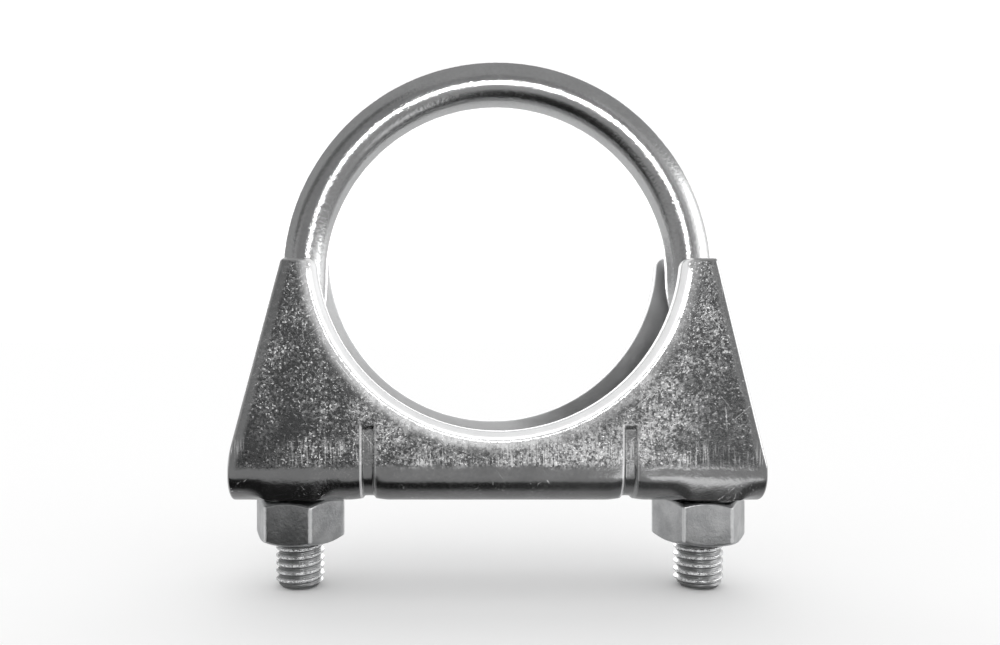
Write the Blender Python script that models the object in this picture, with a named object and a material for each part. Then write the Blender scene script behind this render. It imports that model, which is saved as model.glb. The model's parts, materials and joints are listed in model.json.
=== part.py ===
"""Exhaust clamp: a U-bolt, a folded saddle and two nuts, drawn tight without its pipe.

Sizes are in metres. The origin is the centre of the U-bolt's arch. X runs from leg to leg,
the pipe would run along Y, and the legs point down, along -Z. The photographed side is -Y.
"""

from math import atan, atan2, cos, pi, radians, sin, tan

import bmesh
import bpy
from mathutils import Matrix, Vector

# The pipe that the clamp is made for, and the gap between pieces that touch
PIPE_DIAMETER = 0.0540
SEAT_GAP = 0.0003

# U-bolt: one bent rod with a rolled thread on both legs
ROD_DIAMETER = 0.00715
ARCH_EASE = 0.00075
LEFT_LEG_SPREAD = 0.0008
RIGHT_LEG_SPREAD = 0.0017
SPREAD_LENGTH = 0.0120
THREAD_DIAMETER = 0.0078
THREAD_LENGTH = 0.0300
THREAD_RUNOUT = 0.0012
THREAD_END_CHAMFER = 0.0010
THREAD_STUB = 0.0078

# Saddle: one sheet folded into a channel, with a round cradle cut into both walls
SHEET = 0.0025
CHANNEL_WIDTH = 0.0180
FOLD_RADIUS = 0.0045
CRADLE_EASE = 0.0012
CRADLE_DEPTH = 0.0267
CRADLE_FLOOR = 0.0111
HORN_WIDTH = 0.0053
HORN_INNER_ROUND = 0.0016
HORN_OUTER_ROUND = 0.0007
REAR_HORN_RISE = 0.0013
LEFT_END_MARGIN = 0.0098
LEFT_END_HEIGHT = 0.0070
LEFT_KNEE_ROUND = 0.0170
RIGHT_END_MARGIN = 0.0080
RIGHT_END_HEIGHT = 0.0058
RIGHT_KNEE_ROUND = 0.0040
SADDLE_DRAWN_UP = 0.0038
SADDLE_OFFSET = -0.0002
HOLE_EASE = 0.00075

# The punch leaves a rolled-over rim on the outer side of the sheet
RIM_DEPTH = 0.0006
CRADLE_RIM = 0.0013
EDGE_RIM = 0.0007

# A narrow rib is pressed into the sheet on both sides of the middle, right round the folds
RIB_SPACING = 0.0402
RIB_WIDTH = 0.0018
RIB_FLANK = 0.00036
RIB_DEPTH = 0.0003
RIB_TOP = 0.0123
RIB_FADE = 0.0010
DIP_WIDTH = 0.0064
DIP_DEPTH = 0.0003

# Under each nut the die squares the fold, so that the nut bears on a wide flat
SEAT_LENGTH = 0.0150
SEAT_SQUARENESS = 0.55
SEAT_FLATNESS = 2

# Nuts: plain hexagon nuts with both ends chamfered
NUT_WIDTH = 0.0130
NUT_HEIGHT = 0.0068
NUT_CHAMFER_CIRCLE = 0.0126
NUT_CHAMFER_ANGLE = radians(30)
BORE_EASE = 0.0003
BORE_CHAMFER = 0.0005
LEFT_NUT_TURN = radians(-8.5)
RIGHT_NUT_TURN = radians(-4.5)

# Facets
ROD_SIDES = 28
ARCH_STEPS = 40
SPREAD_STEPS = 6
HOLE_SIDES = 48
NUT_SIDES = 60
FOLD_STEPS = 8
RIM_STEPS = 3
CRADLE_STEPS = 64
ROUND_STEPS = 5
DIP_STEPS = 3
SEAT_STEPS = 8

rod_radius = ROD_DIAMETER / 2
thread_radius = THREAD_DIAMETER / 2
arch_radius = PIPE_DIAMETER / 2 + ARCH_EASE + rod_radius
left_leg = -(arch_radius + LEFT_LEG_SPREAD)
right_leg = arch_radius + RIGHT_LEG_SPREAD

# Heights in the saddle's own frame, whose origin is the centre of the cradle
cradle_radius = PIPE_DIAMETER / 2 + CRADLE_EASE
web_bottom = -cradle_radius - CRADLE_FLOOR
horn_top = -cradle_radius + CRADLE_DEPTH

# Each end of the saddle: its distance from the middle, the height of its knee and the knee's round
left_end = (SADDLE_OFFSET - left_leg + LEFT_END_MARGIN, LEFT_END_HEIGHT, LEFT_KNEE_ROUND)
right_end = (right_leg - SADDLE_OFFSET + RIGHT_END_MARGIN, RIGHT_END_HEIGHT, RIGHT_KNEE_ROUND)

# Heights in the clamp's frame
nut_top = web_bottom + SADDLE_DRAWN_UP - SEAT_GAP
nut_bottom = nut_top - NUT_HEIGHT
leg_end = nut_bottom - THREAD_STUB


def metal(name, colour, roughness):
    """A plated steel finish."""
    material = bpy.data.materials.new(name)
    material.use_nodes = True
    shader = material.node_tree.nodes["Principled BSDF"]
    shader.inputs["Base Color"].default_value = (*colour, 1)
    shader.inputs["Metallic"].default_value = 1
    shader.inputs["Roughness"].default_value = roughness
    return material


def make_object(name, mesh, material, place, parent):
    """Turn a finished bmesh into a named object standing at its place under its parent."""
    bmesh.ops.recalc_face_normals(mesh, faces=mesh.faces)
    data = bpy.data.meshes.new(name)
    mesh.to_mesh(data)
    mesh.free()
    data.shade_smooth()
    data.set_sharp_from_angle(angle=radians(30))
    data.materials.append(material)
    piece = bpy.data.objects.new(name, data)
    piece.parent = parent
    piece.location = place
    bpy.context.collection.objects.link(piece)
    return piece


def make_empty(name):
    """A guide that carries pieces and is no piece itself."""
    empty = bpy.data.objects.new(name, None)
    bpy.context.collection.objects.link(empty)
    return empty


def loft(rings, hollow=False):
    """Skin closed rings of points one after another, then cap both ends or join them into a tube."""
    mesh = bmesh.new()
    loops = [[mesh.verts.new(point) for point in ring] for ring in rings]
    pairs = list(zip(loops, loops[1:]))
    if hollow:
        pairs.append((loops[-1], loops[0]))
    else:
        mesh.faces.new(loops[0])
        mesh.faces.new(loops[-1])
    for lower, upper in pairs:
        for i in range(len(lower)):
            mesh.faces.new((lower[i - 1], lower[i], upper[i], upper[i - 1]))
    return mesh


def ring(radius, sides, height=0.0):
    """Points round the Z axis."""
    return [Vector((radius * cos(2 * pi * i / sides), radius * sin(2 * pi * i / sides), height))
            for i in range(sides)]


def rod_section(x, z, heading, radius):
    """The rod's round section at one place, square to its heading in the XZ plane."""
    place = Matrix.Translation((x, 0, z)) @ Matrix.Rotation(heading, 4, "Y")
    return [place @ point for point in ring(radius, ROD_SIDES)]


def leg_sections(leg):
    """Distance from the middle, height, heading and radius up one leg, from its end to the arch."""
    spread = abs(leg) - arch_radius
    thread_top = leg_end + THREAD_LENGTH
    sections = [
        (abs(leg), leg_end, 0, thread_radius - THREAD_END_CHAMFER),
        (abs(leg), leg_end + THREAD_END_CHAMFER, 0, thread_radius),
        (abs(leg), thread_top, 0, thread_radius),
        (abs(leg), thread_top + THREAD_RUNOUT, 0, rod_radius),
    ]
    for step in range(SPREAD_STEPS, 0, -1):
        part = step / SPREAD_STEPS
        x = arch_radius + spread * (1 - cos(pi * part)) / 2
        lean = atan(spread * pi / 2 * sin(pi * part) / SPREAD_LENGTH)
        sections.append((x, -SPREAD_LENGTH * part, lean, rod_radius))
    return sections


def make_u_bolt(material, parent):
    """One rod: up the left leg, over the arch and down the right leg."""
    rings = [rod_section(-x, z, lean, radius) for x, z, lean, radius in leg_sections(left_leg)]
    for step in range(ARCH_STEPS + 1):
        turn = pi * step / ARCH_STEPS
        rings.append(rod_section(-arch_radius * cos(turn), arch_radius * sin(turn), turn, rod_radius))
    for x, z, lean, radius in reversed(leg_sections(right_leg)):
        rings.append(rod_section(x, z, pi - lean, radius))
    return make_object("u_bolt", loft(rings), material, (0, 0, 0), parent)


def arc(centre, radius, start, end, steps):
    """Points along an arc, both ends included."""
    angles = [start + (end - start) * step / steps for step in range(steps + 1)]
    return [Vector((centre[0] + radius * cos(a), centre[1] + radius * sin(a))) for a in angles]


def half_wall(top, end, knee_height, knee_round):
    """Edge of one wall from one end, over the horn and down the cradle to the middle.

    Each entry is a point and the width of the rolled-over rim there. Heights are those of
    the folded saddle, measured from the centre of the cradle.
    """
    horn_outer = cradle_radius + HORN_WIDTH
    knee = Vector((end, web_bottom + knee_height))
    slope = atan2(top - knee.y, horn_outer - knee.x)
    bend = slope - pi / 2
    knee_centre = knee - Vector((knee_round, knee_round * tan(bend / 2)))
    corner = Vector((horn_outer - HORN_OUTER_ROUND / tan(slope / 2), top - HORN_OUTER_ROUND))
    outer_round = arc(corner, HORN_OUTER_ROUND, bend, pi / 2, ROUND_STEPS)

    rise = top - HORN_INNER_ROUND
    reach = cradle_radius + HORN_INNER_ROUND
    inner = Vector(((reach ** 2 - rise ** 2) ** 0.5, rise))
    facing = atan2(-inner.y, -inner.x) % (2 * pi)
    inner_round = arc(inner, HORN_INNER_ROUND, pi / 2, facing, ROUND_STEPS)
    cradle = arc((0, 0), cradle_radius, facing - pi, -pi / 2, CRADLE_STEPS // 2)

    edge = [(point, EDGE_RIM) for point in arc(knee_centre, knee_round, 0, bend, ROUND_STEPS) + outer_round]
    for step, point in enumerate(inner_round[:-1]):
        edge.append((point, EDGE_RIM + (CRADLE_RIM - EDGE_RIM) * step / ROUND_STEPS))
    edge += [(point, CRADLE_RIM) for point in cradle]
    return edge


def flat_height(height):
    """Distance from the blank's middle line of a point that folds up to this height."""
    neutral = FOLD_RADIUS - SHEET / 2
    fold_start = CHANNEL_WIDTH / 2 - FOLD_RADIUS
    return fold_start + neutral * pi / 2 + height - (web_bottom + FOLD_RADIUS)


def blank_outline():
    """The flat blank's edge, anticlockwise, with the rim's width at each point."""
    front = (1, horn_top, right_end, left_end)
    rear = (-1, horn_top + REAR_HORN_RISE, left_end, right_end)
    outline = []
    for side, top, first, second in (front, rear):
        wall = half_wall(top, *first)
        wall += [(Vector((-point.x, point.y)), rim) for point, rim in reversed(half_wall(top, *second)[:-1])]
        outline += [(Vector((point.x, flat_height(point.y))) * side, rim) for point, rim in wall]
    return outline


def inset(outline, share):
    """Points of an outline moved inwards by a share of each point's rim."""
    moved = []
    for i, (point, rim) in enumerate(outline):
        before = (point - outline[i - 1][0]).normalized()
        after = (outline[(i + 1) % len(outline)][0] - point).normalized()
        along = (before + after).normalized()
        inward = Vector((-along.y, along.x))
        moved.append(point + inward * rim * share / max(along.dot(after), 0.5))
    return moved


def make_blank():
    """The flat sheet, its outer side at depth 0 with the rim rolled over."""
    outline = blank_outline()
    rings = [[Vector((*point, SHEET)) for point, rim in outline]]
    for step in range(RIM_STEPS + 1):
        angle = pi / 2 * step / RIM_STEPS
        depth = RIM_DEPTH * (1 - sin(angle))
        rings.append([Vector((*point, depth)) for point in inset(outline, 1 - cos(angle))])
    return loft(rings)


def crease_places():
    """Where the sheet needs an edge before it is folded and pressed: across X, then along the fold."""
    ribs = [side * RIB_SPACING / 2 for side in (-1, 1)]
    rib_edges = [0, RIB_WIDTH / 2 - RIB_FLANK, RIB_WIDTH / 2]
    dip_edges = [DIP_WIDTH / 2 * step / DIP_STEPS for step in range(1, DIP_STEPS + 1)]
    across = [rib + sign * edge for rib in ribs for edge in rib_edges + dip_edges for sign in (-1, 1)]
    seat_steps = [SEAT_LENGTH * (step / SEAT_STEPS - 0.5) for step in range(SEAT_STEPS + 1)]
    across += [leg - SADDLE_OFFSET + step for leg in (left_leg, right_leg) for step in seat_steps]

    fold_start = CHANNEL_WIDTH / 2 - FOLD_RADIUS
    fold_length = (FOLD_RADIUS - SHEET / 2) * pi / 2
    along = [fold_start + fold_length * step / FOLD_STEPS for step in range(FOLD_STEPS + 1)]
    along += [flat_height(web_bottom + RIB_TOP), flat_height(web_bottom + RIB_TOP - RIB_FADE)]
    return sorted(set(across)), [sign * place for place in along for sign in (-1, 1)]


def hump(distance, width):
    """1 in the middle of a width, falling smoothly to 0 at its edges."""
    return (1 + cos(2 * pi * distance / width)) / 2 if abs(distance) < width / 2 else 0


def pressed_in(x, along):
    """How far the ribs press the sheet inwards at a place on the blank."""
    top = flat_height(web_bottom + RIB_TOP)
    fade = min(max((top - abs(along)) / RIB_FADE, 0), 1)
    dip_top = flat_height(web_bottom + FOLD_RADIUS) + FOLD_RADIUS / 2
    low = min(max((dip_top - abs(along)) / FOLD_RADIUS, 0), 1)
    distance = abs(abs(x) - RIB_SPACING / 2)
    groove = min(max((RIB_WIDTH / 2 - distance) / RIB_FLANK, 0), 1)
    return RIB_DEPTH * groove * fade + DIP_DEPTH * hump(distance, DIP_WIDTH) * low


def squared(x, angle):
    """How far beyond the plain fold its outer side reaches over the nut seats."""
    seat = max(hump(x + SADDLE_OFFSET - leg, SEAT_LENGTH) for leg in (left_leg, right_leg))
    corner = 1 / max(sin(angle), cos(angle)) - 1
    return FOLD_RADIUS * corner * SEAT_SQUARENESS * min(SEAT_FLATNESS * seat, 1)


def fold(point):
    """Where a point of the flat blank, given as x, place along the fold and depth, comes to lie."""
    x, along, depth = point
    side = -1 if along >= 0 else 1
    depth += pressed_in(x, along)
    fold_start = CHANNEL_WIDTH / 2 - FOLD_RADIUS
    past = abs(along) - fold_start
    if past <= 0:
        return Vector((x, side * abs(along), web_bottom + depth))
    angle = min(past / (FOLD_RADIUS - SHEET / 2), pi / 2)
    reach = FOLD_RADIUS - depth + squared(x, angle) * (1 - depth / SHEET)
    y = fold_start + reach * sin(angle)
    z = web_bottom + FOLD_RADIUS - reach * cos(angle)
    past_fold = past - (FOLD_RADIUS - SHEET / 2) * pi / 2
    return Vector((x, side * y, z + max(past_fold, 0)))


def make_saddle(material, parent):
    """Punch the blank, crease it where it bends, fold it up and drill it for the legs."""
    mesh = make_blank()
    across, along = crease_places()
    cuts = [((place, 0, 0), (1, 0, 0)) for place in across]
    cuts += [((0, place, 0), (0, 1, 0)) for place in along]
    for place, normal in cuts:
        parts = mesh.verts[:] + mesh.edges[:] + mesh.faces[:]
        bmesh.ops.bisect_plane(mesh, geom=parts, plane_co=place, plane_no=normal, dist=1e-7)
    for vert in mesh.verts:
        vert.co = fold(vert.co)
    saddle = make_object("saddle", mesh, material, (SADDLE_OFFSET, 0, SADDLE_DRAWN_UP), parent)

    hole_radius = thread_radius + HOLE_EASE
    for side, leg in (("left", left_leg), ("right", right_leg)):
        ends = (web_bottom - SHEET, web_bottom + 2 * SHEET)
        drill = loft([ring(hole_radius, HOLE_SIDES, end) for end in ends])
        cutter = make_object(f"{side}_leg_hole", drill, material, (leg - SADDLE_OFFSET, 0, 0), saddle)
        cutter.hide_render = True
        cutter.display_type = "WIRE"
        hole = saddle.modifiers.new(f"{side}_leg_hole", "BOOLEAN")
        hole.operation = "DIFFERENCE"
        hole.object = cutter
    return saddle


def hexagon_reach(angle):
    """Distance from a hexagon nut's axis to its side in one direction."""
    off_flat = (angle + pi / 6) % (pi / 3) - pi / 6
    return NUT_WIDTH / 2 / cos(off_flat)


def nut_ring(low_end):
    """Where the cone of an end chamfer meets the six flats, as points on the nut's outside."""
    points = []
    for i in range(NUT_SIDES):
        angle = 2 * pi * i / NUT_SIDES
        reach = hexagon_reach(angle)
        drop = (reach - NUT_CHAMFER_CIRCLE / 2) * tan(NUT_CHAMFER_ANGLE)
        height = -NUT_HEIGHT + drop if low_end else -drop
        points.append(Vector((reach * cos(angle), reach * sin(angle), height)))
    return points


def make_nut(name, leg, turn, material, saddle):
    """A hexagon nut on one leg, its upper face on the saddle's web."""
    bore = thread_radius + BORE_EASE
    mouth = bore + BORE_CHAMFER
    face = NUT_CHAMFER_CIRCLE / 2
    rings = [
        ring(mouth, NUT_SIDES, 0),
        ring(face, NUT_SIDES, 0),
        nut_ring(low_end=False),
        nut_ring(low_end=True),
        ring(face, NUT_SIDES, -NUT_HEIGHT),
        ring(mouth, NUT_SIDES, -NUT_HEIGHT),
        ring(bore, NUT_SIDES, -NUT_HEIGHT + BORE_CHAMFER),
        ring(bore, NUT_SIDES, -BORE_CHAMFER),
    ]
    mesh = loft(rings, hollow=True)
    bmesh.ops.rotate(mesh, verts=mesh.verts, matrix=Matrix.Rotation(pi / 6 + turn, 3, "Z"))
    place = (leg - SADDLE_OFFSET, 0, nut_top - SADDLE_DRAWN_UP)
    return make_object(name, mesh, material, place, saddle)


for thing in list(bpy.data.objects):
    bpy.data.objects.remove(thing)

bright_zinc = metal("bright zinc on drawn rod", (0.70, 0.71, 0.71), 0.22)
spangled_zinc = metal("spangled zinc on rolled sheet", (0.52, 0.53, 0.53), 0.34)
grey_zinc = metal("grey zinc on the nuts", (0.47, 0.48, 0.48), 0.38)

clamp = make_empty("clamp")
make_u_bolt(bright_zinc, clamp)
saddle = make_saddle(spangled_zinc, clamp)
make_nut("nut_left", left_leg, LEFT_NUT_TURN, grey_zinc, saddle)
make_nut("nut_right", right_leg, RIGHT_NUT_TURN, grey_zinc, saddle)
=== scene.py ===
import json
from math import atan, atan2, copysign, cos, floor, hypot, pi, radians, sin, sqrt, tan

import bmesh
import bpy
from mathutils import Matrix, Vector


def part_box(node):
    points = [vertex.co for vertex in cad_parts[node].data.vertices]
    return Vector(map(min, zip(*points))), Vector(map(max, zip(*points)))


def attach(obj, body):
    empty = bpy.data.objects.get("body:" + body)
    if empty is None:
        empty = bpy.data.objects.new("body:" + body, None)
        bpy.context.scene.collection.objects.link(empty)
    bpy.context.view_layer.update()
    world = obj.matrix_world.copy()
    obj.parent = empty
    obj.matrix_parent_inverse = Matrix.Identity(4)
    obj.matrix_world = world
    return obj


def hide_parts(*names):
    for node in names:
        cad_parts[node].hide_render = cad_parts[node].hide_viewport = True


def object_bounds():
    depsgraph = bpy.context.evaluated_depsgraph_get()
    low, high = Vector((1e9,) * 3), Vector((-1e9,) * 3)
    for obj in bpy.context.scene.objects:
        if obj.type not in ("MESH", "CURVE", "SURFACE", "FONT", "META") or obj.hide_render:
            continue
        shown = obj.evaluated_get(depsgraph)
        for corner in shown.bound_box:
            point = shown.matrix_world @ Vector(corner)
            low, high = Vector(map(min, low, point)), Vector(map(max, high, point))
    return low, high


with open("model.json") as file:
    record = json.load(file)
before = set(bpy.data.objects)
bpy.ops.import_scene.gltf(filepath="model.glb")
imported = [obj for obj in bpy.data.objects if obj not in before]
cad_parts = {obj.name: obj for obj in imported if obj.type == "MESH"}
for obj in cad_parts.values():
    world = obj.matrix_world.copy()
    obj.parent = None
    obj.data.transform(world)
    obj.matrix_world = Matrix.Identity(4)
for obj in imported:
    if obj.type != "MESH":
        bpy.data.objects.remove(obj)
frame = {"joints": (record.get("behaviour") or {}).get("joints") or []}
packed_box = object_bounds()

# The U-bolt: one drawn steel rod, bent cold round a former, with an M8 thread rolled on both legs and
# bright zinc over it all. The arch comes first, then the legs that spring apart, then the threads.
MM = 0.001
PITCH = 1.25 * MM
ROD_RADIUS = 7.15 / 2 * MM
CREST_RADIUS = 7.8 / 2 * MM
ROOT_RADIUS = 6.7 / 2 * MM
THREAD_LENGTH = 30 * MM
RUNOUT = 2.2 * MM
END_CHAMFER = 1.0 * MM
END_RIM = 0.5 * MM
END_SLOPE = 0.9 * MM
END_DISH = 0.25 * MM
THREAD_JOIN = 0.3 * MM
SPREAD_LENGTH = 12 * MM
ROD_SIDES = 72
ARCH_STEPS = 128
SPREAD_STEPS = 12
TURN_STEPS = 48
CHAMFER_STEPS = 4

# One tooth from root to root: height as a share of the pitch, and reach from the root to the crest
TOOTH = (
    (0.07, 0.02), (0.13, 0.13), (0.37, 0.88), (0.42, 0.98), (0.46, 1.0),
    (0.54, 1.0), (0.58, 0.98), (0.63, 0.88), (0.87, 0.13), (0.93, 0.02), (1.0, 0.0),
)

bolt_low, bolt_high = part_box("u_bolt")
arch_radius = bolt_high.z - ROD_RADIUS
leg_end = bolt_low.z
thread_top = leg_end + THREAD_LENGTH
leg_axes = {joint["child"]: joint["pos_m"][0] for joint in frame["joints"] if joint["type"] == "hinge"}


def open_rims(mesh):
    """Edges with a face on one side only."""
    return [edge for edge in mesh.edges if len(edge.link_faces) == 1]


def draw_out(mesh, rim):
    """Extrude an open rim in place, and give back the new rim and its corners."""
    made = bmesh.ops.extrude_edge_only(mesh, edges=rim)["geom"]
    corners = [part for part in made if isinstance(part, bmesh.types.BMVert)]
    edges = [part for part in made if isinstance(part, bmesh.types.BMEdge)]
    return [edge for edge in edges if all(corner in corners for corner in edge.verts)], corners


def cut_across(mesh, place, facing, clear=False, faces=None):
    """Cut a shape, or some of its faces, with a plane, and clear what the plane faces if told to."""
    parts = mesh.verts[:] + mesh.edges[:] + mesh.faces[:]
    if faces:
        parts = list({part for face in faces for part in (face, *face.edges, *face.verts)})
    bmesh.ops.bisect_plane(
        mesh, geom=parts, dist=0.0001 * MM, plane_co=place, plane_no=facing, clear_outer=clear,
    )


def set_reach(corner, reach):
    """Move a corner straight out or in to a distance from the Z axis."""
    now = hypot(corner.co.x, corner.co.y)
    corner.co.x *= reach / now
    corner.co.y *= reach / now


def screw_thread(low, high, root, crest):
    """A right-hand thread about Z: one tooth's outline, screwed upwards and cut square at both ends."""
    mesh = bmesh.new()
    start = leg_end + PITCH * floor((low - leg_end) / PITCH - 1)
    turns = int((high - start) / PITCH) + 2
    corner = bmesh.ops.create_vert(mesh, co=(root, 0, start))["vert"][0]
    for height, reach in TOOTH:
        corner = bmesh.ops.extrude_vert_indiv(mesh, verts=[corner])["verts"][0]
        corner.co = (root + (crest - root) * reach, 0, start + PITCH * height)
    bmesh.ops.spin(
        mesh, geom=mesh.verts[:] + mesh.edges[:], cent=(0, 0, 0), axis=(0, 0, 1),
        dvec=(0, 0, PITCH / TURN_STEPS), angle=2 * pi * turns, steps=turns * TURN_STEPS,
    )
    bmesh.ops.remove_doubles(mesh, verts=mesh.verts, dist=0.002 * MM)
    cut_across(mesh, (0, 0, low), (0, 0, -1), clear=True)
    cut_across(mesh, (0, 0, high), (0, 0, 1), clear=True)
    return mesh


def roll_leg_thread():
    """The thread of one leg, about the Z axis: chamfered below, and running out into the rod above."""
    mesh = screw_thread(leg_end, thread_top, ROOT_RADIUS, CREST_RADIUS)
    for step in range(1, CHAMFER_STEPS + 1):
        cut_across(mesh, (0, 0, leg_end + END_CHAMFER * step / CHAMFER_STEPS), (0, 0, 1))
    for corner in mesh.verts:
        reach = hypot(corner.co.x, corner.co.y)
        cone = CREST_RADIUS - END_CHAMFER + corner.co.z - leg_end
        runout = min(max((corner.co.z - thread_top) / RUNOUT + 1, 0), 1)
        set_reach(corner, min(reach, cone) * (1 - runout) + ROD_RADIUS * runout)
    return mesh


def add_shape(mesh, shape, shift):
    """Copy a shape into a mesh at its place, and give back the copy's open rims."""
    data = bpy.data.meshes.new("shape")
    shape.to_mesh(data)
    before = set(mesh.verts)
    mesh.from_mesh(data)
    bpy.data.meshes.remove(data)
    corners = [corner for corner in mesh.verts if corner not in before]
    bmesh.ops.translate(mesh, verts=corners, vec=shift)
    return [edge for edge in open_rims(mesh) if edge.verts[0] not in before]


def at_height(edges, height):
    """Those edges that lie at a height."""
    return [edge for edge in edges if all(abs(corner.co.z - height) < 0.01 * MM for corner in edge.verts)]


def close_rod_end(mesh, rim):
    """Close a rod's end, slightly dished as thread rolling leaves it."""
    cap = bmesh.ops.contextual_create(mesh, geom=rim)["faces"]
    bmesh.ops.recalc_face_normals(mesh, faces=mesh.faces)
    bmesh.ops.inset_region(mesh, faces=cap, thickness=END_RIM, depth=0)
    bmesh.ops.inset_region(mesh, faces=cap, thickness=END_SLOPE, depth=-END_DISH)


def add_object(name, mesh, material, sharp_angle=30):
    """A finished bmesh as an object at the origin."""
    bmesh.ops.recalc_face_normals(mesh, faces=mesh.faces)
    data = bpy.data.meshes.new(name)
    mesh.to_mesh(data)
    mesh.free()
    data.shade_smooth()
    data.set_sharp_from_angle(angle=radians(sharp_angle))
    data.materials.append(material)
    piece = bpy.data.objects.new(name, data)
    bpy.context.collection.objects.link(piece)
    return piece


class Finish:
    """One socket in a finish's node tree. Sums and products of it add their own Math nodes."""

    def __init__(self, tree, socket=None):
        self.tree = tree
        self.socket = socket

    def node(self, kind, settings=None, sockets=None, output=0):
        """Add a node: its settings first, then the values or links of its sockets."""
        made = self.tree.nodes.new(kind)
        for name, setting in (settings or {}).items():
            setattr(made, name, setting)
        for name, value in (sockets or {}).items():
            if isinstance(value, Finish):
                self.tree.links.new(value.socket, made.inputs[name])
            else:
                made.inputs[name].default_value = value
        return Finish(self.tree, made.outputs[output])

    def math(self, operation, *values):
        return self.node("ShaderNodeMath", {"operation": operation}, dict(enumerate(values)))

    def __add__(self, other):
        return self.math("ADD", self, other)

    def __radd__(self, other):
        return self.math("ADD", other, self)

    def __sub__(self, other):
        return self.math("SUBTRACT", self, other)

    def __rsub__(self, other):
        return self.math("SUBTRACT", other, self)

    def __mul__(self, other):
        return self.math("MULTIPLY", self, other)

    def __rmul__(self, other):
        return self.math("MULTIPLY", other, self)

    def __abs__(self):
        return self.math("ABSOLUTE", self)

    def part(self, letter):
        """One coordinate of a place."""
        return self.node("ShaderNodeSeparateXYZ", {}, {"Vector": self}, output=letter)

    def turned(self, angle):
        """The place turned about the Y axis, for a pattern that runs at a slant."""
        sockets = {"Vector": self, "Angle": angle}
        return self.node("ShaderNodeVectorRotate", {"rotation_type": "Y_AXIS"}, sockets)

    def rise(self, low, high):
        """0 up to low and 1 from high on, smooth in between."""
        sockets = {"Value": self, "From Min": low, "From Max": high}
        return self.node("ShaderNodeMapRange", {"interpolation_type": "SMOOTHSTEP"}, sockets)

    def band(self, rising, falling):
        """1 in a band and 0 outside it. Each edge is given as where it starts and where it ends."""
        return self.rise(*rising) * (1 - self.rise(*falling))

    def clouds(self, size, detail=3.0, roughness=0.5, stretch=(1, 1, 1)):
        """Noise whose clouds have a size in metres, here taken as a place on the piece."""
        place = self.node("ShaderNodeVectorMath", {"operation": "MULTIPLY"}, {0: self, 1: stretch})
        sockets = {"Vector": place, "Scale": 1 / size, "Detail": detail, "Roughness": roughness}
        return self.node("ShaderNodeTexNoise", {}, sockets)

    def blend(self, low, high):
        """A colour between two colours."""
        sockets = {"Factor": self, "A": (*low, 1), "B": (*high, 1)}
        return self.node("ShaderNodeMix", {"data_type": "RGBA"}, sockets, output="Result")

    def bump(self, height):
        """Shading as if the surface rose to a height where this is 1."""
        sockets = {"Strength": 1.0, "Distance": height, "Height": self}
        return self.node("ShaderNodeBump", {}, sockets)


def start_finish(name):
    """A new metal: the material, its shader, and a place on the piece to make patterns from."""
    material = bpy.data.materials.new(name)
    material.use_nodes = True
    tree = material.node_tree
    shader = tree.nodes["Principled BSDF"]
    shader.inputs["Metallic"].default_value = 1.0
    place = Finish(tree).node("ShaderNodeTexCoord", output="Object")
    return material, shader, place


def feed(shader, **values):
    """Link expressions to the shader's sockets, named with an underscore for a space."""
    for name, value in values.items():
        value.tree.links.new(value.socket, shader.inputs[name.replace("_", " ")])


def diagonal(across, along):
    """How far off a place is, from how far it lies across and along."""
    squares = across * across + along * along
    return squares.math("SQRT", squares)


def from_leg(place):
    """How far a place is from the nearer leg's axis."""
    middle = sum(leg_axes.values()) / 2
    half_span = max(leg_axes.values()) - middle
    return diagonal(abs(place.part("X") - middle) - half_span, place.part("Y"))


zinc_rod, shader, place = start_finish("bright zinc on drawn rod")
grain = place.clouds(0.50 * MM, detail=4.0, roughness=0.6)
cloud = place.clouds(5 * MM, detail=3.0)
threaded = 1 - place.part("Z").rise(thread_top - RUNOUT, thread_top)
# Painted shade: the thread's roots are darker and rougher
painted_root_shade = threaded * (1 - from_leg(place).rise(ROOT_RADIUS + 0.05 * MM, ROOT_RADIUS + 0.40 * MM))
# Painted glints on the thread's crests, which turn less metallic there and show white
painted_crest_glint = threaded * from_leg(place).rise(CREST_RADIUS - 0.16 * MM, CREST_RADIUS - 0.04 * MM)
painted_crest_glint = painted_crest_glint * grain.rise(0.35, 0.65)
light = 0.44 + 0.34 * grain + 0.22 * cloud + 0.20 * threaded - 0.60 * painted_root_shade
feed(
    shader,
    Base_Color=light.blend((0.20, 0.202, 0.204), (0.98, 0.985, 0.99)),
    Roughness=0.10 + 0.08 * grain + 0.04 * cloud + 0.08 * threaded + 0.15 * painted_root_shade,
    Metallic=1 - 0.75 * painted_crest_glint,
    Normal=grain.bump(0.045 * MM),
)

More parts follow.
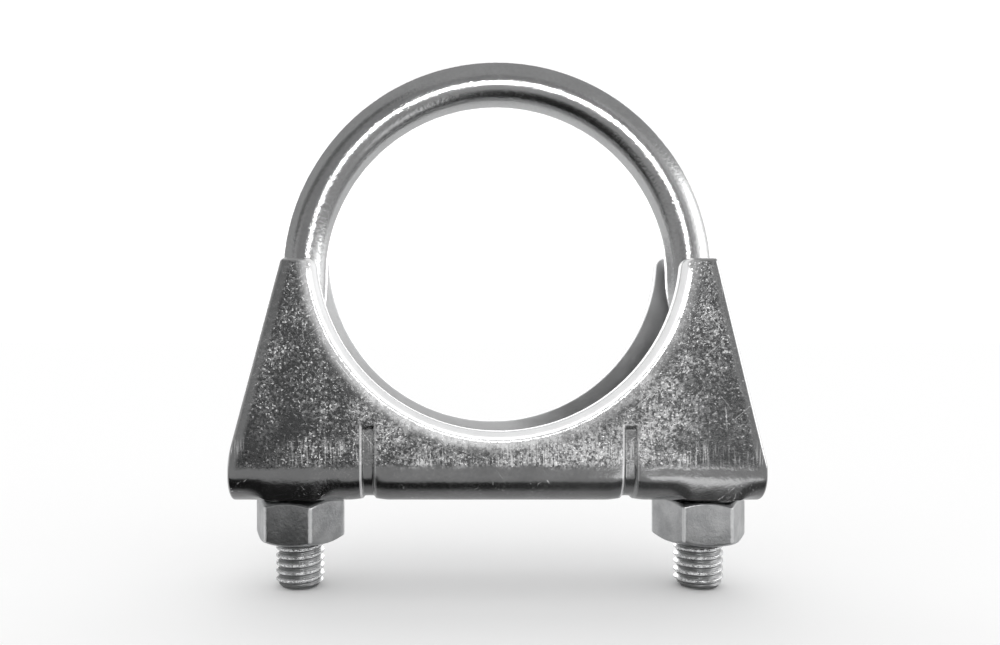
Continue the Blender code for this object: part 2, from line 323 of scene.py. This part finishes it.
rod = bmesh.new()
section = bmesh.ops.create_circle(rod, cap_ends=False, radius=ROD_RADIUS, segments=ROD_SIDES)["verts"]
bmesh.ops.translate(rod, verts=section, vec=(-arch_radius, 0, 0))
bmesh.ops.spin(
    rod, geom=rod.verts[:] + rod.edges[:], cent=(0, 0, 0), axis=(0, 1, 0), angle=pi, steps=ARCH_STEPS,
)
arch_ends = open_rims(rod)
leg_thread = roll_leg_thread()
for leg in leg_axes.values():
    arch_foot = copysign(arch_radius, leg)
    spread = leg - arch_foot
    rim = [edge for edge in arch_ends if edge.verts[0].co.x * leg > 0]
    centre = Vector((arch_foot, 0, 0))
    lean = 0.0
    for step in range(1, SPREAD_STEPS + 1):
        part = step / SPREAD_STEPS
        last_centre, last_lean = centre, lean
        centre = Vector((arch_foot + spread * (1 - cos(pi * part)) / 2, 0, -SPREAD_LENGTH * part))
        lean = -atan(spread * pi / 2 * sin(pi * part) / SPREAD_LENGTH)
        rim, corners = draw_out(rod, rim)
        bmesh.ops.translate(rod, verts=corners, vec=centre - last_centre)
        turn = Matrix.Rotation(lean - last_lean, 3, "Y")
        bmesh.ops.rotate(rod, verts=corners, cent=centre, matrix=turn)
    rim, corners = draw_out(rod, rim)
    bmesh.ops.translate(rod, verts=corners, vec=(0, 0, thread_top + THREAD_JOIN - centre.z))
    thread_ends = add_shape(rod, leg_thread, (leg, 0, 0))
    bmesh.ops.bridge_loops(rod, edges=rim + at_height(thread_ends, thread_top))
    close_rod_end(rod, at_height(thread_ends, leg_end))
leg_thread.free()

u_bolt = add_object("bent_rod", rod, zinc_rod, sharp_angle=50)
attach(u_bolt, "u_bolt")
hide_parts("u_bolt")

# The saddle: one sheet of rolled steel, punched to its outline, pressed with two ribs, folded into a
# channel and drilled for the legs, then zinc plated. The punch rolls the outer side's rim over.
SHEET = 2.5 * MM
CHANNEL_WIDTH = 18 * MM
FOLD_RADIUS = 4.5 * MM
CRADLE_RADIUS = 28.2 * MM
CRADLE_DEPTH = 26.7 * MM
CRADLE_FLOOR = 11.1 * MM
SADDLE_DRAWN_UP = 3.8 * MM
SADDLE_SHIFT = -0.2 * MM
HORN_WIDTH = 5.3 * MM
HORN_INNER_ROUND = 1.6 * MM
HORN_OUTER_ROUND = 0.7 * MM
REAR_HORN_RISE = 1.3 * MM
LEFT_KNEE = (7.0 * MM, 17 * MM)
RIGHT_KNEE = (5.8 * MM, 4 * MM)
RIM_DEPTH = 0.9 * MM
CRADLE_RIM = 1.6 * MM
EDGE_RIM = 0.6 * MM
BURR_ROUND = 0.15 * MM
RIB_SPACING = 40.2 * MM
RIB_WIDTH = 2.2 * MM
RIB_FLANK = 0.45 * MM
RIB_DEPTH = 0.38 * MM
RIB_TOP = 12.3 * MM
RIB_FADE = 1.0 * MM
DIP_WIDTH = 6.4 * MM
DIP_DEPTH = 0.3 * MM
DIP_TOP = 1.5 * FOLD_RADIUS
DIP_FADE = FOLD_RADIUS
SEAT_LENGTH = 15 * MM
SEAT_SQUARENESS = 0.55
SEAT_FLATNESS = 2
HOLE_RADIUS = CREST_RADIUS + 0.75 * MM
HOLE_SIDES = 96
RIM_STEPS = 8
BURR_STEPS = 3
ROUND_STEPS = 8
CRADLE_STEPS = 72
FOLD_STEPS = 24
SEAT_STEPS = 24
RIB_STEPS = 5
DIP_STEPS = 6
FADE_STEPS = 4

saddle_low, saddle_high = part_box("saddle")
web_bottom = -CRADLE_RADIUS - CRADLE_FLOOR
horn_top = -CRADLE_RADIUS + CRADLE_DEPTH
horn_side = CRADLE_RADIUS + HORN_WIDTH
left_reach = SADDLE_SHIFT - saddle_low.x
right_reach = saddle_high.x - SADDLE_SHIFT
fold_start = CHANNEL_WIDTH / 2 - FOLD_RADIUS
fold_length = (FOLD_RADIUS - SHEET / 2) * pi / 2
unfolded = fold_start + fold_length - web_bottom - FOLD_RADIUS


def carry_round(mesh, corner, centre, angle, steps):
    """Carry an outline on from its last corner round an arc, and give back the new last corner."""
    made = bmesh.ops.spin(
        mesh, geom=[corner], cent=(*centre, 0), axis=(0, 0, 1),
        angle=angle, steps=steps, use_duplicate=False,
    )
    return [part for part in made["geom_last"] if isinstance(part, bmesh.types.BMVert)][0]


def carry_straight(mesh, corner, place):
    """Carry an outline straight on to a place, and give back the new last corner."""
    corner = bmesh.ops.extrude_vert_indiv(mesh, verts=[corner])["verts"][0]
    corner.co = (*place, 0)
    return corner


def scribe_half_wall(mesh, reach, knee_height, knee_round, top, turned):
    """Half of a wall's outline: from its end over the horn and down the cradle to the middle."""
    before = set(mesh.verts)
    knee = Vector((reach, web_bottom + knee_height))
    slope = atan2(top - knee.y, horn_side - knee.x)
    bend = slope - pi / 2
    knee_centre = knee - Vector((knee_round, knee_round * tan(bend / 2)))
    outer = Vector((horn_side - HORN_OUTER_ROUND / tan(slope / 2), top - HORN_OUTER_ROUND))
    rise = top - HORN_INNER_ROUND
    inner = Vector((sqrt((CRADLE_RADIUS + HORN_INNER_ROUND) ** 2 - rise ** 2), rise))
    facing = atan2(-inner.y, -inner.x) % (2 * pi)

    first = bmesh.ops.create_vert(mesh, co=(knee.x, knee_centre.y, 0))["vert"][0]
    corner = carry_round(mesh, first, knee_centre, bend, ROUND_STEPS)
    corner = carry_straight(mesh, corner, outer + HORN_OUTER_ROUND * Vector((cos(bend), sin(bend))))
    corner = carry_round(mesh, corner, outer, pi / 2 - bend, ROUND_STEPS)
    corner = carry_straight(mesh, corner, (inner.x, top))
    corner = carry_round(mesh, corner, inner, facing - pi / 2, ROUND_STEPS)
    carry_round(mesh, corner, (0, 0), pi / 2 - facing, CRADLE_STEPS)

    corners = [corner for corner in mesh.verts if corner not in before]
    for corner in corners:
        over_round = (top - corner.co.y) / HORN_INNER_ROUND
        on_cradle = hypot(corner.co.x, corner.co.y) < CRADLE_RADIUS + HORN_INNER_ROUND
        share = min(max(over_round, 0), 1) if on_cradle else 0
        corner[rim_width] = EDGE_RIM + (CRADLE_RIM - EDGE_RIM) * share
    bmesh.ops.translate(mesh, verts=corners, vec=(0, unfolded, 0))
    bmesh.ops.scale(mesh, verts=corners, vec=(*turned, 1))
    return first


def hump(distance, width):
    """1 in the middle of a width, falling smoothly to 0 at its edges."""
    return (1 + cos(2 * pi * distance / width)) / 2 if abs(distance) < width / 2 else 0


def ease(share):
    """A smooth rise from 0 to 1."""
    share = min(max(share, 0), 1)
    return share * share * (3 - 2 * share)


def pressed_in(x, along):
    """How far the ribs press the sheet inwards at a place on the blank."""
    fade = ease((unfolded + web_bottom + RIB_TOP - abs(along)) / RIB_FADE)
    low = ease((unfolded + web_bottom + DIP_TOP - abs(along)) / DIP_FADE)
    distance = abs(abs(x) - RIB_SPACING / 2)
    groove = ease((RIB_WIDTH / 2 - distance) / RIB_FLANK)
    return RIB_DEPTH * groove * fade + DIP_DEPTH * hump(distance, DIP_WIDTH) * low


def squared(x, angle):
    """How far beyond the plain fold its outer side reaches over the nut seats."""
    seat = max(hump(x + SADDLE_SHIFT - leg, SEAT_LENGTH) for leg in leg_axes.values())
    corner = 1 / max(sin(angle), cos(angle)) - 1
    return FOLD_RADIUS * corner * SEAT_SQUARENESS * min(SEAT_FLATNESS * seat, 1)


def fold(x, along, depth):
    """Where a point of the flat blank comes to lie in the folded saddle."""
    side = -1 if along >= 0 else 1
    depth += pressed_in(x, along)
    past = abs(along) - fold_start
    if past <= 0:
        return Vector((x, side * abs(along), web_bottom + depth))
    angle = min(past / fold_length, 1) * pi / 2
    reach = FOLD_RADIUS - depth + squared(x, angle) * (1 - depth / SHEET)
    y = fold_start + reach * sin(angle)
    z = web_bottom + FOLD_RADIUS - reach * cos(angle)
    return Vector((x, side * y, z + max(past - fold_length, 0)))


blank = bmesh.new()
rim_width = blank.verts.layers.float.new("rim_width")
across_edge = blank.verts.layers.float.new("across_edge")
inwards = blank.verts.layers.float_vector.new("inwards")
front_right = scribe_half_wall(blank, right_reach, *RIGHT_KNEE, horn_top, (1, 1))
front_left = scribe_half_wall(blank, left_reach, *LEFT_KNEE, horn_top, (-1, 1))
rear_right = scribe_half_wall(blank, right_reach, *RIGHT_KNEE, horn_top + REAR_HORN_RISE, (1, -1))
rear_left = scribe_half_wall(blank, left_reach, *LEFT_KNEE, horn_top + REAR_HORN_RISE, (-1, -1))
bmesh.ops.contextual_create(blank, geom=[front_right, rear_right])
bmesh.ops.contextual_create(blank, geom=[front_left, rear_left])
bmesh.ops.remove_doubles(blank, verts=blank.verts, dist=0.001 * MM)

rim = blank.edges[:]
sheet_face = bmesh.ops.contextual_create(blank, geom=rim)["faces"][0]
for loop in sheet_face.loops:
    before = (loop.vert.co - loop.link_loop_prev.vert.co).normalized()
    after = (loop.link_loop_next.vert.co - loop.vert.co).normalized()
    along = (before + after).normalized()
    loop.vert[inwards] = sheet_face.normal.cross(along) / max(along.dot(after), 0.5)
bmesh.ops.delete(blank, geom=[sheet_face], context="FACES_ONLY")

# Rings from the inner side to the outer: the depth, the inset of the burr, the share of the rolled rim
# and the place on the edge, which runs from 3 inside through 2 and 1 on the cut to 0 outside
rings = []
for step in range(BURR_STEPS + 1):
    angle = pi / 2 * step / BURR_STEPS
    depth = SHEET - BURR_ROUND * (1 - cos(angle))
    rings.append((depth, BURR_ROUND * (1 - sin(angle)), 0, 3 - step / BURR_STEPS))
for step in range(RIM_STEPS + 1):
    angle = pi / 2 * step / RIM_STEPS
    depth = RIM_DEPTH * (1 - sin(angle))
    rings.append((depth, 0, 1 - cos(angle), 1 - step / RIM_STEPS))
inner_rim = rim
corners = blank.verts[:]
last_inset, last_share = 0, 0
for count, (depth, inset, share, edge_place) in enumerate(rings):
    if count:
        rim, corners = draw_out(blank, rim)
    for corner in corners:
        move = inset - last_inset + corner[rim_width] * (share - last_share)
        corner.co += corner[inwards] * move
        corner.co.z = depth
        corner[across_edge] = edge_place
    last_inset, last_share = inset, share
bmesh.ops.contextual_create(blank, geom=inner_rim)
bmesh.ops.contextual_create(blank, geom=rim)

# Creases where the sheet bends: along the folds and where the ribs and dips fade out, then across the
# folds, as far up as the ribs reach, for the ribs, the dips and the nut seats
rib_end = unfolded + web_bottom + RIB_TOP
fold_end = unfolded + web_bottom + FOLD_RADIUS
folds = [fold_start + fold_length * step / FOLD_STEPS for step in range(FOLD_STEPS + 1)]
folds += [rib_end - RIB_FADE * step / FADE_STEPS for step in range(FADE_STEPS + 1)]
folds += [fold_end + (DIP_TOP - FOLD_RADIUS) * step / FADE_STEPS for step in range(1, FADE_STEPS + 1)]
for place in folds:
    for side in (-1, 1):
        cut_across(blank, (0, side * place, 0), (0, 1, 0))
rib_places = [RIB_WIDTH / 2 - RIB_FLANK * step / RIB_STEPS for step in range(RIB_STEPS + 1)]
dip_places = [DIP_WIDTH / 2 * step / DIP_STEPS for step in range(DIP_STEPS + 1)]
creases = []
for middle in (-RIB_SPACING / 2, RIB_SPACING / 2):
    for place in rib_places + dip_places:
        creases += [middle - place, middle + place]
for leg in leg_axes.values():
    seat = leg - SADDLE_SHIFT
    creases += [seat + SEAT_LENGTH * (step / SEAT_STEPS - 0.5) for step in range(SEAT_STEPS + 1)]
for place in sorted(set(creases)):
    bent = [face for face in blank.faces if abs(face.calc_center_median().y) < rib_end]
    bent = [face for face in bent if all(abs(corner.co.y) < rib_end + 0.01 * MM for corner in face.verts)]
    cut_across(blank, (place, 0, 0), (1, 0, 0), faces=bent)
for corner in blank.verts:
    corner.co = fold(*corner.co) + Vector((SADDLE_SHIFT, 0, SADDLE_DRAWN_UP))

zinc_sheet, shader, place = start_finish("spangled zinc on rolled sheet")
across, height = place.part("X") - SADDLE_SHIFT, place.part("Z") - SADDLE_DRAWN_UP
edge = place.node("ShaderNodeAttribute", {"attribute_name": "across_edge"}, output="Fac")
OUTER_CORNER = (0.05, 0.45)
INNER_CORNER = (2.70, 2.98)
outer_side = 1 - edge.rise(*OUTER_CORNER)
cut_edge = edge.band(OUTER_CORNER, INNER_CORNER)
inner_side = edge.rise(*INNER_CORNER)
cloud = place.clouds(4 * MM, detail=4.0, roughness=0.6)


def beyond(distance, low, high):
    """0 near an edge and 1 further in, along a ragged line."""
    return (distance + 1.5 * MM * (cloud - 0.5)).rise(low, high)


def from_slope(reach, knee_height, side):
    """How far in from a wall's sloping end a place is."""
    knee = Vector((reach, web_bottom + knee_height))
    outwards = Vector((horn_top - knee.y, knee.x - horn_side)).normalized()
    return knee.dot(outwards) - (across * side * outwards.x + height * outwards.y)


# Where the flecks lie on the walls and where the punch and the pipe left the metal bare, and where
# highlights are painted: on the rims and cut face round the cradle, and on the rear wall's inner face at
# the left
inside_slopes = beyond(from_slope(left_reach, LEFT_KNEE[0], -1), 1.3 * MM, 2.1 * MM)
inside_slopes = inside_slopes * beyond(from_slope(right_reach, RIGHT_KNEE[0], 1), 1.1 * MM, 1.9 * MM)
above_fold = beyond(height, web_bottom + 5.2 * MM, web_bottom + 6.4 * MM)
from_centre = diagonal(across, height)
rubbed = 1 - beyond(from_centre, CRADLE_RADIUS + 2.0 * MM, CRADLE_RADIUS + 5.0 * MM)
# Painted light on the rear wall's inner face at the left
inner_left_painted_light = inner_side * (1 - across.rise(0, 16 * MM))
# A painted highlight over the burnished rims round the cradle, brighter to the left, and over the lit
# inner face
burnish_and_painted_highlight = 1 - from_centre.rise(CRADLE_RADIUS + 1.7 * MM, CRADLE_RADIUS + 3.3 * MM)
burnish_and_painted_highlight = burnish_and_painted_highlight * (outer_side * (1 - 0.5 * across.rise(-5 * MM, 15 * MM)) + inner_left_painted_light)
# The cut face round the cradle turns white and less metallic: a painted highlight
sheared_and_painted_highlight = cut_edge * (1 - from_centre.rise(CRADLE_RADIUS + 1.2 * MM, CRADLE_RADIUS + 1.8 * MM))
# Painted shade: a dark line where the rolled rim meets the cut face
painted_seam_shade = edge.band((0.80, 0.95), (1.10, 1.30))
from_rib = abs(abs(across) - RIB_SPACING / 2)
below_ribs = 1 - height.rise(web_bottom + RIB_TOP - 0.4 * MM, web_bottom + RIB_TOP + 0.2 * MM)
on_rib = (1 - from_rib.rise(1.1 * MM, 1.6 * MM)) * below_ribs

# Painted highlights along the ribs' edges, brighter on the left of each
painted_edge_highlight = 0
for middle in (-RIB_SPACING / 2, RIB_SPACING / 2):
    for side, strength in ((-1, 1.0), (1, 0.30)):
        off = abs(across - (middle + side * (RIB_WIDTH / 2 + 0.02 * MM)))
        painted_edge_highlight = painted_edge_highlight + strength * (1 - off.rise(0.10 * MM, 0.24 * MM))
painted_edge_highlight = painted_edge_highlight * below_ribs * outer_side
flecked = (1 - edge.rise(0.0, 0.12)) * (0.15 + 0.85 * inside_slopes) * (0.08 + 0.92 * above_fold)
flecked = flecked * (1 - 0.45 * rubbed) * (1 - 0.7 * on_rib)

# Frosted zinc flecks in dull and bright patches, with painted glints among them, a painted pool of light
# low in the middle and painted shade at the low outer corners, and scratches: short upright ones above
# the fold and long slanting ones
painted_light_pool = 1 - diagonal(across - 5 * MM, height + 27 * MM).rise(12 * MM, 35 * MM)
# Painted shade at the low outer corners
painted_corner_shade = abs(across).rise(26 * MM, 34 * MM) * (1 - height.rise(-28 * MM, -20 * MM))
patch = place.clouds(5 * MM, detail=4.0, roughness=0.6).rise(0.32, 0.68)
fleck = place.clouds(0.44 * MM, detail=3.0, roughness=0.72) + 0.05 * patch + 0.05 * painted_light_pool
fleck = fleck.rise(0.45, 0.69)
ridges = place.clouds(0.40 * MM, detail=2.0, roughness=0.6)
# Painted glints
painted_glint = place.clouds(0.34 * MM, detail=1.0).rise(0.64, 0.72)
drawn = place.clouds(0.28 * MM, detail=1.0, stretch=(1, 1, 0.06)).rise(0.50, 0.62)
above_web = height - web_bottom
drawn = drawn * above_web.band((5.6 * MM, 6.6 * MM), (8.6 * MM, 10.8 * MM))
drawn = drawn * place.clouds(7 * MM, detail=2.0).rise(0.42, 0.54)
for slant in (radians(4), radians(38), radians(-50)):
    scratch = place.turned(slant).clouds(0.30 * MM, detail=1.0, stretch=(1, 1, 0.03)).rise(0.70, 0.75)
    drawn = drawn + scratch * place.clouds(8 * MM, detail=1.0, stretch=(1, 1, 0.7)).rise(0.50, 0.56)
drawn = drawn * outer_side
# Flecks together with painted light: the glints, the pool of light and the shaded corners
frost_and_painted_light = fleck * (0.18 + 0.42 * patch + 0.22 * painted_light_pool) + 1.6 * painted_glint * (0.3 + 0.7 * patch)
frost_and_painted_light = flecked * (frost_and_painted_light + 0.10 * painted_light_pool * (0.3 + 0.7 * patch)) * (1 - 0.6 * painted_corner_shade)
light = 0.10 * flecked + 1.1 * frost_and_painted_light + (1 - flecked) * (0.42 + 0.22 * cloud)
# Cut edges lighter: a painted highlight
light = light + 0.4 * cut_edge + 0.4 * drawn + 0.5 * painted_edge_highlight + 0.5 * burnish_and_painted_highlight - 0.6 * painted_seam_shade
# Less metallic where scratched and frosted, and white where highlights are painted
matte_and_painted_highlight = 0.85 * sheared_and_painted_highlight + 0.42 * frost_and_painted_light + 0.22 * drawn + 0.40 * painted_edge_highlight
matte_and_painted_highlight = matte_and_painted_highlight + 0.5 * burnish_and_painted_highlight * (outer_side + 1.4 * inner_left_painted_light)
texture = flecked * (2.2 * ridges + 0.2 * fleck) + 0.4 * drawn + 1.6 * cloud
feed(
    shader,
    Base_Color=light.blend((0.10, 0.102, 0.104), (0.98, 0.982, 0.985)),
    Roughness=0.18 + 0.07 * flecked + 0.20 * sheared_and_painted_highlight + 0.16 * inner_side,
    Metallic=1 - matte_and_painted_highlight,
    Normal=texture.bump(0.05 * MM),
)

saddle = add_object("folded_saddle", blank, zinc_sheet, sharp_angle=40)
cutters = []
for leg in leg_axes.values():
    drill = bmesh.new()
    bmesh.ops.create_cone(
        drill, cap_ends=True, segments=HOLE_SIDES,
        radius1=HOLE_RADIUS, radius2=HOLE_RADIUS, depth=3 * SHEET,
    )
    bmesh.ops.translate(drill, verts=drill.verts, vec=(leg, 0, web_bottom + SADDLE_DRAWN_UP + SHEET / 2))
    cutters.append(add_object("leg_drill", drill, zinc_sheet))
    hole = saddle.modifiers.new("leg_hole", "BOOLEAN")
    hole.operation = "DIFFERENCE"
    hole.solver = "EXACT"
    hole.object = cutters[-1]
drilled = bpy.data.meshes.new_from_object(saddle.evaluated_get(bpy.context.evaluated_depsgraph_get()))
saddle.modifiers.clear()
saddle.data = drilled
for cutter in cutters:
    bpy.data.objects.remove(cutter)
even = saddle.modifiers.new("even_shading", "WEIGHTED_NORMAL")
even.keep_sharp = True
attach(saddle, "saddle")
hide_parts("saddle")

# The nuts: two plain M8 hexagon nuts, pressed and tapped, with both ends chamfered to a circle, in
# greyer zinc. Each is run up its leg against the saddle, so its tapped thread meshes with the leg's.
NUT_WIDTH = 13 * MM
NUT_HEIGHT = 6.8 * MM
NUT_CHAMFER_CIRCLE = 12.6 * MM
NUT_CHAMFER_ANGLE = radians(30)
NUT_TURN = {"nut_left": radians(-8.5), "nut_right": radians(-4.5)}
TAPPED_ROOT = 6.75 / 2 * MM
TAPPED_CREST = 8.05 / 2 * MM
MOUTH_RADIUS = 8.5 / 2 * MM
NUT_SIDES = 72
NUT_EDGE = 0.40 * MM


def shape_to_hexagon(corners, low_end):
    """Move a ring out to the six flats, down or up to where the end's chamfer cone meets them."""
    for corner in corners:
        angle = atan2(corner.co.y, corner.co.x)
        off_flat = (angle + pi / 6) % (pi / 3) - pi / 6
        reach = NUT_WIDTH / 2 / cos(off_flat)
        drop = (reach - NUT_CHAMFER_CIRCLE / 2) * tan(NUT_CHAMFER_ANGLE)
        set_reach(corner, reach)
        corner.co.z = -NUT_HEIGHT + drop if low_end else -drop


zinc_nut, shader, place = start_finish("grey zinc on the nuts")
grain = place.clouds(0.5 * MM, detail=3.0, roughness=0.7)
cloud = place.clouds(3 * MM, detail=3.0).rise(0.30, 0.70)
reach = from_leg(place) + 0.12 * MM * (grain - 0.5)
# Painted highlight along the hexagon's corners, which turn lighter and less metallic
painted_edge_highlight = reach.rise(NUT_WIDTH / 2 + 0.78 * MM, NUT_WIDTH / 2 + 0.90 * MM)
feed(
    shader,
    Base_Color=(grain * 0.5 + cloud * 0.5 + 0.6 * painted_edge_highlight).blend((0.50, 0.51, 0.52), (0.92, 0.925, 0.93)),
    Roughness=0.24 + 0.12 * grain,
    Metallic=1 - 0.45 * painted_edge_highlight,
    Normal=grain.bump(0.05 * MM),
)

for name, leg in leg_axes.items():
    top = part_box(name)[1].z
    nut = bmesh.new()
    bmesh.ops.create_circle(nut, cap_ends=False, radius=NUT_CHAMFER_CIRCLE / 2, segments=NUT_SIDES)
    upper_face = nut.edges[:]
    rim, corners = draw_out(nut, upper_face)
    shape_to_hexagon(corners, low_end=False)
    rim, corners = draw_out(nut, rim)
    shape_to_hexagon(corners, low_end=True)
    rim, corners = draw_out(nut, rim)
    for corner in corners:
        set_reach(corner, NUT_CHAMFER_CIRCLE / 2)
        corner.co.z = -NUT_HEIGHT
    shared = [edge for edge in nut.edges if len(edge.link_faces) == 2]
    arrises = [edge for edge in shared if edge.calc_face_angle() > radians(20)]
    bmesh.ops.bevel(
        nut, geom=arrises, offset=NUT_EDGE, segments=2, affect="EDGES",
        profile=0.5, material=-1, clamp_overlap=True,
    )
    bmesh.ops.rotate(nut, verts=nut.verts, matrix=Matrix.Rotation(pi / 6 + NUT_TURN[name], 3, "Z"))
    bmesh.ops.translate(nut, verts=nut.verts, vec=(0, 0, top))
    ends = open_rims(nut)

    tapped = screw_thread(top - NUT_HEIGHT, top, TAPPED_ROOT, TAPPED_CREST)
    mouth = MOUTH_RADIUS - TAPPED_ROOT
    for share in (0.5, 1.0):
        cut_across(tapped, (0, 0, top - mouth * share), (0, 0, 1))
        cut_across(tapped, (0, 0, top - NUT_HEIGHT + mouth * share), (0, 0, 1))
    for corner in tapped.verts:
        from_end = min(top - corner.co.z, corner.co.z - top + NUT_HEIGHT)
        set_reach(corner, max(hypot(corner.co.x, corner.co.y), MOUTH_RADIUS - from_end))
    bore_ends = add_shape(nut, tapped, (0, 0, 0))
    tapped.free()
    for height in (top, top - NUT_HEIGHT):
        bmesh.ops.bridge_loops(nut, edges=at_height(ends, height) + at_height(bore_ends, height))
    bmesh.ops.translate(nut, verts=nut.verts, vec=(leg, 0, 0))

    hexagon = add_object("hexagon_" + name, nut, zinc_nut, sharp_angle=40)
    even = hexagon.modifiers.new("even_shading", "WEIGHTED_NORMAL")
    even.keep_sharp = True
    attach(hexagon, name)
    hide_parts(name)

# The studio: the clamp stands upright on its two thread ends on a pale floor. A small lamp beside the
# lens makes the crisp highlight round the rod, and dark cards keep the metal deep.
foot = packed_box[0].z


def stand_card(name, width, height, place, turn, mirrored_only=True):
    """A flat card, in its place: the floor, or what the metal mirrors from outside the picture."""
    mesh = bmesh.new()
    bmesh.ops.create_grid(mesh, x_segments=1, y_segments=1, size=0.5)
    bmesh.ops.scale(mesh, verts=mesh.verts, vec=(width, height, 1))
    bmesh.ops.rotate(mesh, verts=mesh.verts, matrix=turn)
    bmesh.ops.translate(mesh, verts=mesh.verts, vec=place)
    material, shader, spot = start_finish(name)
    shader.inputs["Metallic"].default_value = 0.0
    shader.inputs["Roughness"].default_value = 1.0
    shader.inputs["Specular IOR Level"].default_value = 0.0
    card = add_object(name, mesh, material)
    card.visible_camera = not mirrored_only
    card.visible_diffuse = not mirrored_only
    card.visible_shadow = not mirrored_only
    card.visible_transmission = not mirrored_only
    return shader, spot


LYING = Matrix.Rotation(0, 3, "X")
ACROSS = Matrix.Rotation(radians(90), 3, "X")
ALONG = Matrix.Rotation(radians(90), 3, "Z") @ ACROSS

# Where the walls of the room round the clamp stand
FRONT, LEFT, RIGHT, BACK, TOP = -0.75, -0.70, 0.70, 1.25, 0.60


def facing(place, roll=0.0):
    """How a card turns to face the clamp from its place."""
    return Vector(place).to_track_quat("Z", "Y").to_matrix() @ Matrix.Rotation(roll, 3, "Z")


shader = stand_card("floor", 6.0, 6.0, (0, 0, foot - 0.1 * MM), LYING, mirrored_only=False)[0]
shader.inputs["Base Color"].default_value = (0.97, 0.97, 0.97, 1)

# The table as the metal mirrors it: dim, brighter behind the clamp and before its right leg, and nearly
# black close before it, a painted shadow of the clamp
room_depth, depth_middle = BACK - FRONT, (BACK + FRONT) / 2
room_height, height_middle = TOP - foot, (TOP + foot) / 2
table_middle = (0, depth_middle, foot + 0.2 * MM)
shader, spot = stand_card("dim_table", RIGHT - LEFT, room_depth, table_middle, LYING)
across, along = spot.part("X"), spot.part("Y")
painted_contact_shadow = (along + 0.022 * (1 - across.rise(-0.034, -0.026))).rise(-0.038, -0.030)
painted_contact_shadow = painted_contact_shadow * (1 - along.rise(-0.019, -0.008))
bright = along.band((-0.098, -0.088), (-0.048, -0.038)) * across.band((0.030, 0.038), (0.056, 0.064))
back = along.rise(-0.012, 0.008)
shade = 0.28 + 0.72 * bright + 0.27 * back
shade = shade * (1 - painted_contact_shadow * (0.96 - 0.20 * across.rise(-0.01, 0.02)))
feed(shader, Base_Color=shade.blend((0, 0, 0), (1, 1, 1)))

# A small dark flag with soft edges, which the rod alone mirrors: it paints the dark reflection of the
# deep spot inside the top of the arch
FLAG = Vector((-0.003, -0.034, -0.012))
shader, spot = stand_card("dark_flag", 0.040, 0.050, FLAG, LYING)
shader.inputs["Base Color"].default_value = (0.015, 0.015, 0.015, 1)
across, along = abs(spot.part("X") - FLAG.x), abs(spot.part("Y") - FLAG.y)
feed(shader, Alpha=(1 - across.rise(0.008, 0.019)) * (1 - along.rise(0.015, 0.024)))

# The room's grey walls: each card's width, height, middle, turn and shade
FRONT_SPLIT = 0.30
WINDOW_TOP = 0.42
DARK_CORNER = (-0.325, -0.272, 0.265)
walls = (
    ("front_wall", FRONT_SPLIT - LEFT, room_height,
     ((FRONT_SPLIT + LEFT) / 2, FRONT, height_middle), ACROSS, 0.21),
    ("front_right_wall", RIGHT - FRONT_SPLIT, room_height,
     ((FRONT_SPLIT + RIGHT) / 2, FRONT, height_middle), ACROSS, 0.41),
    ("left_wall", room_depth, room_height, (LEFT, depth_middle, height_middle), ALONG, 0.30),
    ("right_wall_top", room_depth, TOP - WINDOW_TOP,
     (RIGHT, depth_middle, (TOP + WINDOW_TOP) / 2), ALONG, 0.35),
    ("right_wall_back", 0.51, WINDOW_TOP - foot, (RIGHT, 0.705, (WINDOW_TOP + foot) / 2), ALONG, 0.60),
    ("ceiling", RIGHT - LEFT, room_depth, (0, depth_middle, TOP), LYING, 0.29),
    ("dark_corner", 0.17, 0.46, DARK_CORNER, facing(DARK_CORNER, radians(-50)), 0.12),
)
for name, width, height, place, turn, shade in walls:
    shader = stand_card(name, width, height, place, turn)[0]
    shader.inputs["Base Color"].default_value = (shade, shade, shade, 1)


def hang_lamp(name, width, height, place, power):
    """A soft lamp that faces the clamp and is seen in the metal only."""
    lamp = bpy.data.lights.new(name, "AREA")
    lamp.shape = "RECTANGLE"
    lamp.size = width
    lamp.size_y = height
    lamp.energy = power
    holder = bpy.data.objects.new(name, lamp)
    bpy.context.collection.objects.link(holder)
    holder.location = place
    holder.rotation_euler = facing(place).to_euler()
    holder.visible_camera = False
    holder.visible_diffuse = False


hang_lamp("lens_lamp", 0.024, 0.0145, (0.016, -0.142, 0.027), 0.028)
hang_lamp("window", 0.42, 0.40, (0.65, -0.10, 0.12), 0.61)
hang_lamp("back_light", 1.36, 1.00, (0, 1.20, 0.25), 7.3)

world = bpy.data.worlds.new("white tent")
world.use_nodes = True
world.node_tree.nodes["Background"].inputs["Color"].default_value = (1, 1, 1, 1)
world.node_tree.nodes["Background"].inputs["Strength"].default_value = 1.03
bpy.context.scene.world = world

# The camera stands close before the clamp, a little left of its middle. Its lens is shifted, so uprights
# stay upright.
PHOTO_WIDTH = 1000
PHOTO_FOCAL_LENGTH = 795
SENSOR = 36.0
lens = bpy.data.cameras.new("camera")
lens.sensor_width = SENSOR
lens.lens = PHOTO_FOCAL_LENGTH * SENSOR / PHOTO_WIDTH
lens.shift_x = 0.062
lens.shift_y = 0.0095
lens.clip_start = 1 * MM
camera = bpy.data.objects.new("camera", lens)
bpy.context.collection.objects.link(camera)
camera.location = (-9.57 * MM, -130.3 * MM, -9.07 * MM)
camera.rotation_euler = (radians(90), 0, 0)
bpy.context.scene.camera = camera
bpy.context.scene.view_settings.view_transform = "Standard"
